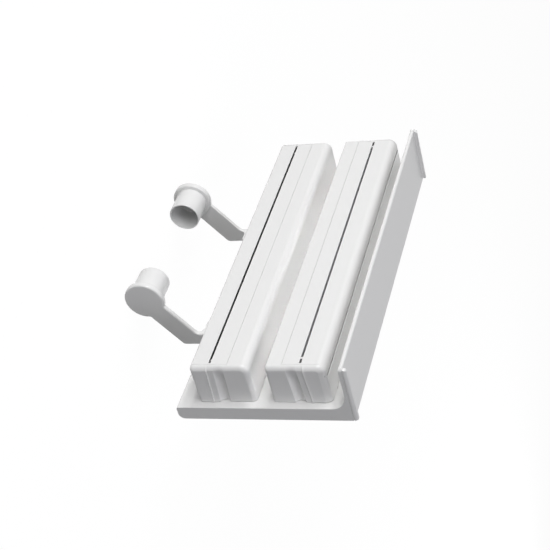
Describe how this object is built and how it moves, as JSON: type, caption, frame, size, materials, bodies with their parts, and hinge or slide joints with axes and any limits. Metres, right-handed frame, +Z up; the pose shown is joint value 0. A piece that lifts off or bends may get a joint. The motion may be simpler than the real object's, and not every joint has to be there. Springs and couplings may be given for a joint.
{
  "type": "wall-mounted kitchen roll dispenser",
  "caption": "White wall dispenser: a back plate with a shelf, hinged boxes with film slits and cutters, and sliding arms with plugs below for a roll of kitchen paper.",
  "frame": {"origin": "on the wall plane, midway between the four wall screw holes", "axes": "+X along the length, to the right of someone who faces the wall; +Y into the wall; +Z up"},
  "size_m": [0.37, 0.0763, 0.2445],
  "materials": {
    "white_plastic": "satin moulded",
    "inner_plastic": "fine matt",
    "cutter_steel": "rolled strip",
    "fastener_steel": "zinc plated"
  },
  "bodies": {
    "base": {"back_plate": "white_plastic", "rear_cover": "inner_plastic", "cover_screws": "fastener_steel", "lower_tray": "white_plastic", "lower_left_cap": "white_plastic", "lower_right_cap": "white_plastic", "lower_tray_screws": "fastener_steel", "lower_hinge_pins": "fastener_steel", "upper_tray": "white_plastic", "upper_left_cap": "white_plastic", "upper_right_cap": "white_plastic", "upper_tray_screws": "fastener_steel", "upper_hinge_pins": "fastener_steel"},
    "lower_lid": {"lower_lid": "white_plastic", "lower_cutter": "cutter_steel", "lower_cutter_rivets": "fastener_steel"},
    "upper_lid": {"upper_lid": "white_plastic", "upper_cutter": "cutter_steel", "upper_cutter_rivets": "fastener_steel"},
    "left_arm": {"left_arm": "white_plastic", "left_shoe": "inner_plastic", "left_shoe_screw": "fastener_steel"},
    "right_arm": {"right_arm": "white_plastic", "right_shoe": "inner_plastic", "right_shoe_screw": "fastener_steel"}
  },
  "joints": [
    {"name": "lower_lid_hinge", "type": "hinge", "parent": "base", "child": "lower_lid", "pos_m": [0, -0.0451, -0.0613], "axis": [1, 0, 0], "range_deg": [0, 95]},
    {"name": "upper_lid_hinge", "type": "hinge", "parent": "base", "child": "upper_lid", "pos_m": [0, -0.0451, 0.0613], "axis": [-1, 0, 0], "range_deg": [0, 95]},
    {"name": "left_arm_slide", "type": "slide", "parent": "base", "child": "left_arm", "axis": [-1, 0, 0], "range_m": [0, 0.085]},
    {"name": "right_arm_slide", "type": "slide", "parent": "base", "child": "right_arm", "axis": [1, 0, 0], "range_m": [0, 0.085]}
  ]
}
